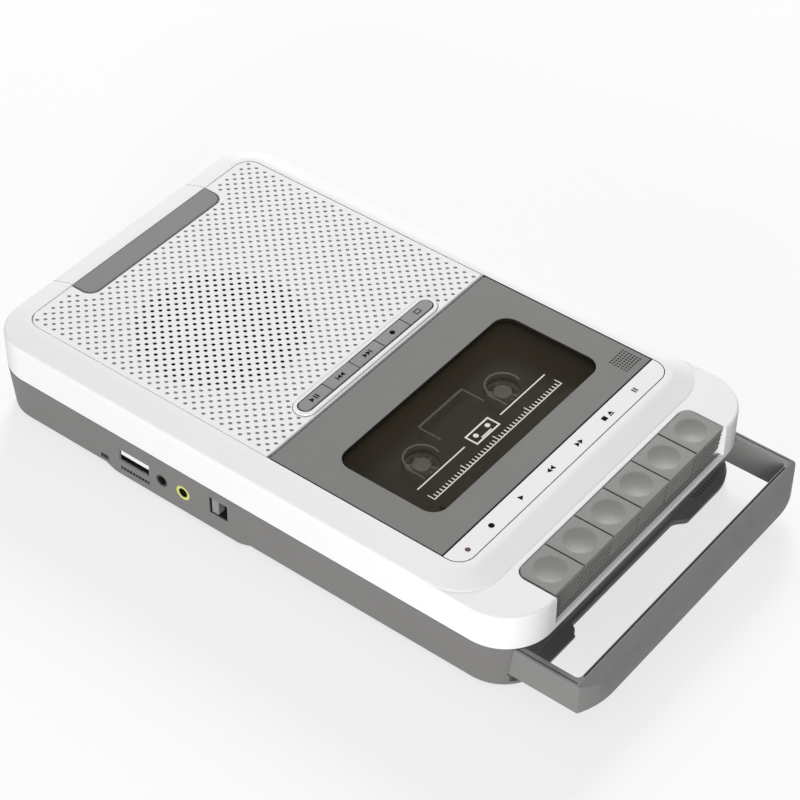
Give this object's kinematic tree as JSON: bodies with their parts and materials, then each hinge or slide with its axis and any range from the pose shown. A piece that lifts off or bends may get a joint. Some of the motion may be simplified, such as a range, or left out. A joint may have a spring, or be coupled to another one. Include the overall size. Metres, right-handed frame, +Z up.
{
  "type": "portable cassette player",
  "caption": "Flat portable cassette player with perforated speaker panel, hinged cassette lid, piano keys, function buttons and a carrying handle that slides into the front.",
  "frame": {"origin": "On the plane the rubber feet rest on, at the middle of the bounding box with the handle pulled out.", "axes": "+X to the user's right, +Y from the keys to the speaker end, +Z up."},
  "size_m": [0.1296, 0.2362, 0.0356],
  "materials": {
    "white_shell": "satin white",
    "white_panel": "satin white",
    "grey_base": "fine matt grain",
    "grey_lid": "matt grey",
    "key_grey": "matt grey",
    "button_grey": "matt grey",
    "smoked_window": "clear smoked",
    "black_plastic": "matt black",
    "jack_yellow": "matt yellow-green",
    "switch_grey": "matt dark grey",
    "led_red": "clear red",
    "cassette_smoke": "smoked",
    "reel_white": "white moulding",
    "plated_steel": "plated",
    "pressed_steel": "pressed sheet",
    "head_metal": "polished face",
    "flywheel_metal": "turned",
    "magnet_grey": "matt ferrite",
    "brass": "turned",
    "board_green": "solder mask",
    "cone_paper": "pressed paper",
    "black_rubber": "soft"
  },
  "bodies": {
    "case": {"top_cover": "white_shell", "base_shell": "grey_base", "grille_panel": "white_panel", "label_strip": "white_panel", "battery_box": "black_plastic", "battery_contacts": "plated_steel", "speaker_basket": "pressed_steel", "speaker_cone": "cone_paper", "speaker_magnet": "magnet_grey", "main_board": "board_green", "button_board": "board_green", "usb_socket": "plated_steel", "card_socket": "black_plastic", "mic_jack": "black_plastic", "phone_jack": "jack_yellow", "switch_body": "black_plastic", "volume_pot": "black_plastic", "status_led": "led_red", "lid_pin": "plated_steel", "key_shaft": "plated_steel", "key_springs": "plated_steel", "deck_chassis": "pressed_steel", "motor": "pressed_steel", "drive_belt": "black_rubber", "capstan_bush": "brass", "cassette_shell": "cassette_smoke", "rubber_feet": "black_rubber", "case_screws": "plated_steel", "chassis_screws": "plated_steel"},
    "lid": {"lid": "grey_lid", "window_pane": "smoked_window", "mic_capsule": "plated_steel"},
    "battery_cover": {"battery_door": "white_shell", "battery_grip": "grey_lid"},
    "handle": {"handle": "grey_base"},
    "power_switch": {"switch_knob": "switch_grey"},
    "volume_wheel": {"volume_wheel": "black_plastic"},
    "flywheel": {"flywheel": "flywheel_metal", "capstan": "plated_steel"},
    "motor_pulley": {"motor_pulley": "brass"},
    "supply_reel": {"supply_spindle": "reel_white", "supply_reel": "reel_white"},
    "takeup_reel": {"takeup_spindle": "reel_white", "takeup_reel": "reel_white"},
    "head_slide": {"head_slide": "pressed_steel", "tape_heads": "head_metal"},
    "pinch_arm": {"pinch_arm": "pressed_steel"},
    "pinch_roller": {"pinch_roller": "black_rubber"},
    "key_record": {"key_record": "key_grey"},
    "key_play": {"key_play": "key_grey"},
    "key_rewind": {"key_rewind": "key_grey"},
    "key_forward": {"key_forward": "key_grey"},
    "key_stop": {"key_stop": "key_grey"},
    "key_pause": {"key_pause": "key_grey"},
    "button_mode": {"button_mode": "button_grey"},
    "button_previous": {"button_previous": "button_grey"},
    "button_next": {"button_next": "button_grey"},
    "button_record": {"button_record": "button_grey"},
    "button_run": {"button_run": "button_grey"}
  },
  "joints": [
    {"name": "lid_hinge", "type": "hinge", "parent": "case", "child": "lid", "pos_m": [0, 0.0041, 0.0332], "axis": [-1, 0, 0], "range_deg": [0, 60]},
    {"name": "battery_cover_slide", "type": "slide", "parent": "case", "child": "battery_cover", "axis": [0, 1, 0], "range_m": [0, 0.03]},
    {"name": "handle_slide", "type": "slide", "parent": "case", "child": "handle", "axis": [0, 1, 0], "range_m": [0, 0.022]},
    {"name": "power_switch_slide", "type": "slide", "parent": "case", "child": "power_switch", "axis": [0, -1, 0], "range_m": [0, 0.0032]},
    {"name": "volume_turn", "type": "hinge", "parent": "case", "child": "volume_wheel", "pos_m": [-0.0566, 0.0683, 0.004], "axis": [0, 0, 1], "range_deg": [-150, 150]},
    {"name": "flywheel_spin", "type": "hinge", "parent": "case", "child": "flywheel", "pos_m": [0.033, -0.0504, 0.0144], "axis": [0, 0, 1], "continuous": true},
    {"name": "motor_spin", "type": "hinge", "parent": "case", "child": "motor_pulley", "pos_m": [0.038, 0.0279, 0.0144], "axis": [0, 0, 1], "continuous": true},
    {"name": "supply_spin", "type": "hinge", "parent": "case", "child": "supply_reel", "pos_m": [-0.02125, -0.0276, 0.0144], "axis": [0, 0, 1], "continuous": true},
    {"name": "takeup_spin", "type": "hinge", "parent": "case", "child": "takeup_reel", "pos_m": [0.02125, -0.0276, 0.0144], "axis": [0, 0, 1], "continuous": true},
    {"name": "head_advance", "type": "slide", "parent": "case", "child": "head_slide", "axis": [0, 1, 0], "range_m": [0, 0.006], "stiffness_N_per_m": 120, "springref_m": -0.003},
    {"name": "pinch_swing", "type": "hinge", "parent": "case", "child": "pinch_arm", "pos_m": [0.045, -0.0628, 0.0168], "axis": [0, 0, -1], "range_deg": [0, 41]},
    {"name": "pinch_spin", "type": "hinge", "parent": "pinch_arm", "child": "pinch_roller", "pos_m": [0.033, -0.0644, 0.0179], "axis": [0, 0, 1], "continuous": true},
    {"name": "key_record_press", "type": "hinge", "parent": "case", "child": "key_record", "pos_m": [0, -0.0731, 0.0208], "axis": [1, 0, 0], "range_deg": [0, 10], "stiffness_Nm_per_rad": 0.15, "springref_deg": -5.73, "deforming": ["key_springs"]},
    {"name": "key_play_press", "type": "hinge", "parent": "case", "child": "key_play", "pos_m": [0, -0.0731, 0.0208], "axis": [1, 0, 0], "range_deg": [0, 10], "deforming": ["key_springs"]},
    {"name": "key_rewind_press", "type": "hinge", "parent": "case", "child": "key_rewind", "pos_m": [0, -0.0731, 0.0208], "axis": [1, 0, 0], "range_deg": [0, 10], "stiffness_Nm_per_rad": 0.15, "springref_deg": -5.73, "deforming": ["key_springs"]},
    {"name": "key_forward_press", "type": "hinge", "parent": "case", "child": "key_forward", "pos_m": [0, -0.0731, 0.0208], "axis": [1, 0, 0], "range_deg": [0, 10], "stiffness_Nm_per_rad": 0.15, "springref_deg": -5.73, "deforming": ["key_springs"]},
    {"name": "key_stop_press", "type": "hinge", "parent": "case", "child": "key_stop", "pos_m": [0, -0.0731, 0.0208], "axis": [1, 0, 0], "range_deg": [0, 10], "stiffness_Nm_per_rad": 0.15, "springref_deg": -5.73, "deforming": ["key_springs"]},
    {"name": "key_pause_press", "type": "hinge", "parent": "case", "child": "key_pause", "pos_m": [0, -0.0731, 0.0208], "axis": [1, 0, 0], "range_deg": [0, 10], "stiffness_Nm_per_rad": 0.15, "springref_deg": -5.73, "deforming": ["key_springs"]},
    {"name": "button_mode_press", "type": "slide", "parent": "case", "child": "button_mode", "axis": [0, 0, -1], "range_m": [0, 0.0005], "stiffness_N_per_m": 800, "springref_m": -0.0015},
    {"name": "button_previous_press", "type": "slide", "parent": "case", "child": "button_previous", "axis": [0, 0, -1], "range_m": [0, 0.0005], "stiffness_N_per_m": 800, "springref_m": -0.0015},
    {"name": "button_next_press", "type": "slide", "parent": "case", "child": "button_next", "axis": [0, 0, -1], "range_m": [0, 0.0005], "stiffness_N_per_m": 800, "springref_m": -0.0015},
    {"name": "button_record_press", "type": "slide", "parent": "case", "child": "button_record", "axis": [0, 0, -1], "range_m": [0, 0.0005], "stiffness_N_per_m": 800, "springref_m": -0.0015},
    {"name": "button_run_press", "type": "slide", "parent": "case", "child": "button_run", "axis": [0, 0, -1], "range_m": [0, 0.0005], "stiffness_N_per_m": 800, "springref_m": -0.0015}
  ],
  "couplings": [
    {"joint": "motor_spin", "follows": "flywheel_spin", "ratio": 6.6667},
    {"joint": "supply_spin", "follows": "flywheel_spin", "ratio": 0.0625},
    {"joint": "takeup_spin", "follows": "flywheel_spin", "ratio": 0.0625},
    {"joint": "key_play_press", "follows": "head_advance", "rad_per_m": 29.08},
    {"joint": "pinch_swing", "follows": "head_advance", "rad_per_m": 119.2}
  ]
}
